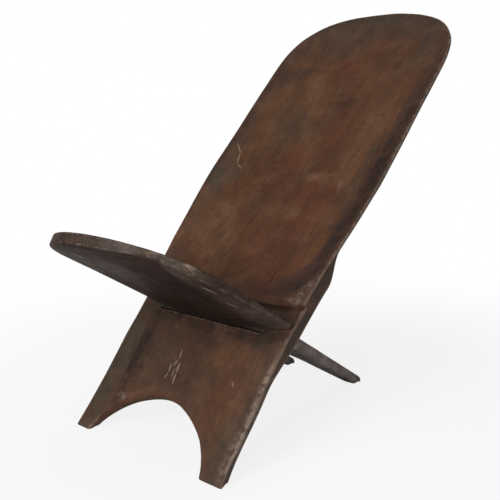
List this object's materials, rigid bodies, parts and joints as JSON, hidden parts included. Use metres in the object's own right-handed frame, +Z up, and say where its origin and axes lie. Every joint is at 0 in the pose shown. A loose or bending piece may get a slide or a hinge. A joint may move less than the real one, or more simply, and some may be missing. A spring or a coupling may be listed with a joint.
{
  "type": "birthing chair",
  "caption": "Low carved wooden chair: a round seat plank slides through a slot in a leaning, hollowed back plank, and its forked tail makes the rear legs.",
  "frame": {"origin": "on the ground, under the middle of the whole chair's bounding box", "axes": "+X across the chair to the sitter's left as they face forward, +Y towards the rear, +Z up"},
  "size_m": [0.318, 0.6434, 0.5798],
  "materials": {
    "back_wood": "worn dark hardwood, hand rubbed, matte to satin",
    "seat_wood": "worn dark hardwood, greyer than the back, matte to satin"
  },
  "bodies": {
    "back": {"back_plank": "back_wood"},
    "seat": {"seat_plank": "seat_wood"}
  },
  "joints": [
    {"name": "seat_slide", "type": "slide", "parent": "back", "child": "seat", "axis": [0, -0.8462, 0.5329], "range_m": [0, 0.32]}
  ]
}
